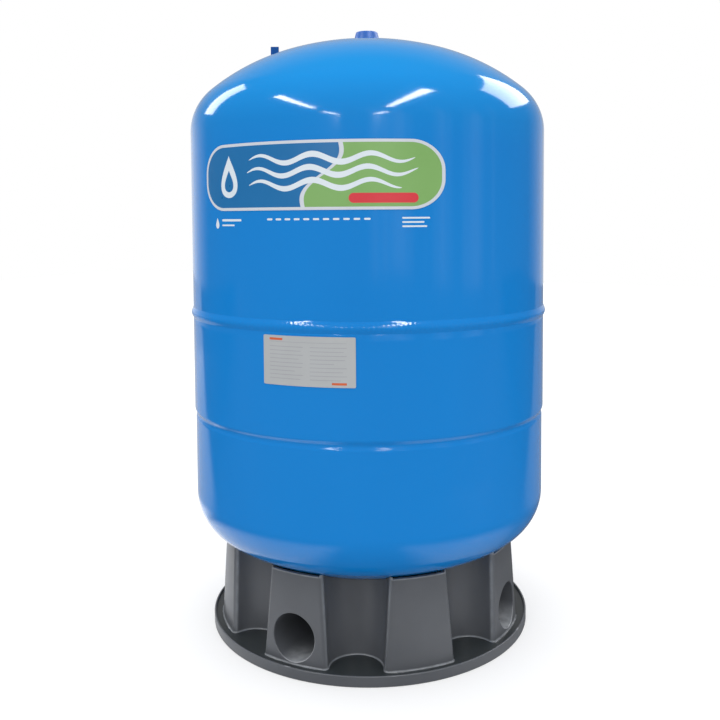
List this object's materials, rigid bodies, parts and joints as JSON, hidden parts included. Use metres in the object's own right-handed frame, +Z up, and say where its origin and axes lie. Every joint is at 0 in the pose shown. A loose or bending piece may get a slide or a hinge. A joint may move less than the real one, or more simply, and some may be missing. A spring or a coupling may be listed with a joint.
{
  "type": "well pressure tank",
  "caption": "Free-standing pressure tank for a water well: a blue steel vessel with domed ends and a seam band, on a fluted grey pedestal with pipe tunnels.",
  "frame": {"origin": "centre of the pedestal's underside, on the floor", "axes": "+Z up along the tank's axis, -Y and +X through two of the four pipe tunnels, +Y along the threaded inlet"},
  "size_m": [0.5648, 0.5648, 0.9392],
  "materials": {
    "blue_enamel": "glossy blue enamel",
    "blue_plastic": "smooth moulded plastic, deeper blue",
    "grey_moulding": "satin moulded composite, dark grey",
    "printed_film": "glossy printed film in blue and green with a pale border",
    "pale_film": "pale satin film",
    "stainless_steel": "pickled stainless steel",
    "spring_steel": "zinc plated steel",
    "brass": "turned brass",
    "butyl_rubber": "moulded black rubber",
    "liner_plastic": "natural moulded plastic",
    "black_plastic": "moulded black plastic"
  },
  "bodies": {
    "root": {"upper_shell": "blue_enamel", "lower_shell": "blue_enamel", "girth_weld": "blue_enamel", "hanger_lug": "blue_enamel", "valve_guard_cap": "blue_plastic", "pedestal_base": "grey_moulding", "front_label": "printed_film", "data_label": "pale_film", "inlet_elbow": "stainless_steel", "inlet_collar": "stainless_steel", "base_retainer": "spring_steel", "clench_ring": "spring_steel", "valve_boss": "spring_steel", "liner_nut": "brass", "valve_stem": "brass", "valve_core": "brass", "diaphragm": "butyl_rubber", "inlet_seal": "butyl_rubber", "valve_seal": "butyl_rubber", "water_liner": "liner_plastic", "valve_dust_cap": "black_plastic"}
  },
  "joints": []
}
